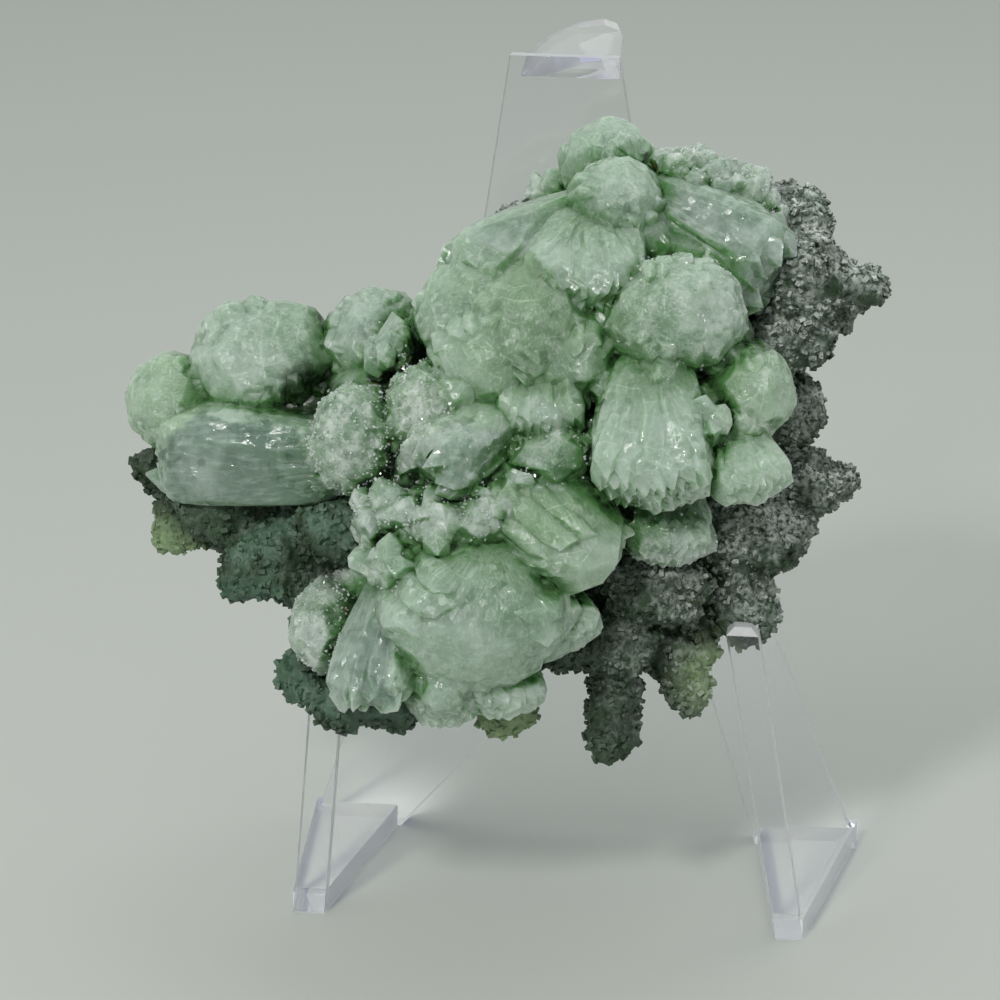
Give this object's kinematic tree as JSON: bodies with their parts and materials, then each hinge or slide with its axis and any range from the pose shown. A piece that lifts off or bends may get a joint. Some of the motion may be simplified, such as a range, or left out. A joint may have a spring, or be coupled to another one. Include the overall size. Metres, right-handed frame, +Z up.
{
  "type": "mineral specimen on stand",
  "caption": "Cluster of pale green prehnite crystals grown on dark grainy rock, leaning on a clear bent-sheet display stand.",
  "frame": {"origin": "middle of the bounding box in X and Y, on the floor", "axes": "+Z up, the viewer of the picture stands at -Y, +X to the viewer's right"},
  "size_m": [0.0819, 0.0606, 0.0936],
  "materials": {
    "prehnite": "translucent crystal, pearly with glints",
    "matrix": "rough, grainy",
    "clear_sheet": "clear acrylic with polished edges"
  },
  "bodies": {
    "root": {"prehnite": "prehnite", "matrix": "matrix", "stand": "clear_sheet"}
  },
  "joints": []
}
